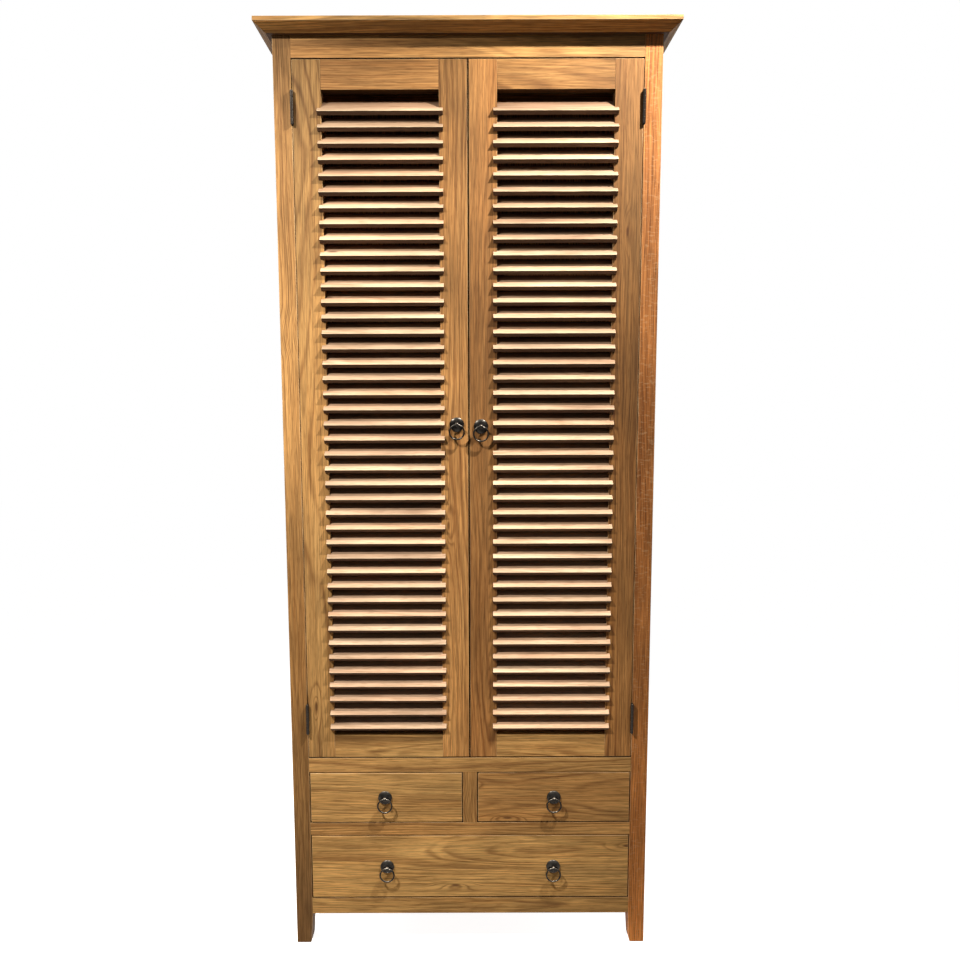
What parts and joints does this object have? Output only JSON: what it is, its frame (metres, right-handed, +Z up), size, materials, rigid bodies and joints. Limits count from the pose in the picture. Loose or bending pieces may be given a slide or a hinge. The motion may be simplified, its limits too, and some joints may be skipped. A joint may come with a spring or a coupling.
{
  "type": "louvred door cabinet",
  "caption": "Tall louvred linen cabinet with a pair of hinged slatted doors over small drawers and a wide drawer, ring pulls and a mitred cornice.",
  "frame": {"origin": "bottom centre of the cabinet's box, on the floor", "axes": "+Z up, the front with its doors faces -Y, +X to the right seen from the front"},
  "size_m": [0.864, 0.482, 2.0133],
  "materials": {
    "teak": "waxed honey-brown teak",
    "slat_teak": "waxed pale teak",
    "inner_teak": "plain sawn teak",
    "bronze": "dark antique bronze",
    "hinge_bronze": "dark antique bronze"
  },
  "bodies": {
    "carcass": {"front_left_post": "teak", "front_right_post": "teak", "back_left_post": "teak", "back_right_post": "teak", "left_side_panel": "teak", "right_side_panel": "teak", "back_panel": "inner_teak", "top_board": "teak", "cornice_front": "teak", "cornice_left": "teak", "cornice_right": "teak", "top_front_rail": "teak", "waist_front_rail": "teak", "drawer_front_rail": "teak", "bottom_front_rail": "teak", "drawer_divider": "teak", "bottom_board": "inner_teak", "dust_board": "inner_teak", "cupboard_floor": "inner_teak", "lower_shelf": "inner_teak", "upper_shelf": "inner_teak", "left_upper_hinge_frame_leaf": "hinge_bronze", "left_lower_hinge_frame_leaf": "hinge_bronze", "right_upper_hinge_frame_leaf": "hinge_bronze", "right_lower_hinge_frame_leaf": "hinge_bronze"},
    "left_door": {"left_door_hinge_stile": "teak", "left_door_meeting_stile": "teak", "left_door_top_rail": "teak", "left_door_bottom_rail": "teak", "left_door_louvres": "slat_teak", "left_door_pull_base": "bronze", "left_upper_hinge_door_leaf": "hinge_bronze", "left_lower_hinge_door_leaf": "hinge_bronze"},
    "right_door": {"right_door_hinge_stile": "teak", "right_door_meeting_stile": "teak", "right_door_top_rail": "teak", "right_door_bottom_rail": "teak", "right_door_louvres": "slat_teak", "right_door_pull_base": "bronze", "right_upper_hinge_door_leaf": "hinge_bronze", "right_lower_hinge_door_leaf": "hinge_bronze"},
    "left_drawer": {"left_drawer_front": "teak", "left_drawer_box": "inner_teak", "left_drawer_bottom": "inner_teak", "left_drawer_pull_base": "bronze"},
    "right_drawer": {"right_drawer_front": "teak", "right_drawer_box": "inner_teak", "right_drawer_bottom": "inner_teak", "right_drawer_pull_base": "bronze"},
    "large_drawer": {"large_drawer_front": "teak", "large_drawer_box": "inner_teak", "large_drawer_bottom": "inner_teak", "large_drawer_left_pull_base": "bronze", "large_drawer_right_pull_base": "bronze"},
    "left_door_ring": {"left_door_pull_ring": "bronze"},
    "right_door_ring": {"right_door_pull_ring": "bronze"},
    "left_drawer_ring": {"left_drawer_pull_ring": "bronze"},
    "right_drawer_ring": {"right_drawer_pull_ring": "bronze"},
    "large_drawer_left_ring": {"large_drawer_left_pull_ring": "bronze"},
    "large_drawer_right_ring": {"large_drawer_right_pull_ring": "bronze"}
  },
  "joints": [
    {"name": "left_door_hinge", "type": "hinge", "parent": "carcass", "child": "left_door", "pos_m": [-0.36225, -0.2129, 1.193], "axis": [0, 0, -1], "range_deg": [0, 170]},
    {"name": "right_door_hinge", "type": "hinge", "parent": "carcass", "child": "right_door", "pos_m": [0.36225, -0.2129, 1.193], "axis": [0, 0, 1], "range_deg": [0, 170]},
    {"name": "left_drawer_slide", "type": "slide", "parent": "carcass", "child": "left_drawer", "axis": [0, -1, 0], "range_m": [0, 0.3]},
    {"name": "right_drawer_slide", "type": "slide", "parent": "carcass", "child": "right_drawer", "axis": [0, -1, 0], "range_m": [0, 0.3]},
    {"name": "large_drawer_slide", "type": "slide", "parent": "carcass", "child": "large_drawer", "axis": [0, -1, 0], "range_m": [0, 0.3]},
    {"name": "left_door_ring_swing", "type": "hinge", "parent": "left_door", "child": "left_door_ring", "pos_m": [-0.0259, -0.2185, 1.195], "axis": [-1, 0, 0], "range_deg": [-10, 150]},
    {"name": "right_door_ring_swing", "type": "hinge", "parent": "right_door", "child": "right_door_ring", "pos_m": [0.0259, -0.2185, 1.191], "axis": [-1, 0, 0], "range_deg": [-10, 150]},
    {"name": "left_drawer_ring_swing", "type": "hinge", "parent": "left_drawer", "child": "left_drawer_ring", "pos_m": [-0.1923, -0.2185, 0.352], "axis": [-1, 0, 0], "range_deg": [-10, 150]},
    {"name": "right_drawer_ring_swing", "type": "hinge", "parent": "right_drawer", "child": "right_drawer_ring", "pos_m": [0.1895, -0.2185, 0.352], "axis": [-1, 0, 0], "range_deg": [-10, 150]},
    {"name": "large_drawer_left_ring_swing", "type": "hinge", "parent": "large_drawer", "child": "large_drawer_left_ring", "pos_m": [-0.1895, -0.2185, 0.186], "axis": [-1, 0, 0], "range_deg": [-10, 150]},
    {"name": "large_drawer_right_ring_swing", "type": "hinge", "parent": "large_drawer", "child": "large_drawer_right_ring", "pos_m": [0.1895, -0.2185, 0.186], "axis": [-1, 0, 0], "range_deg": [-10, 150]}
  ]
}
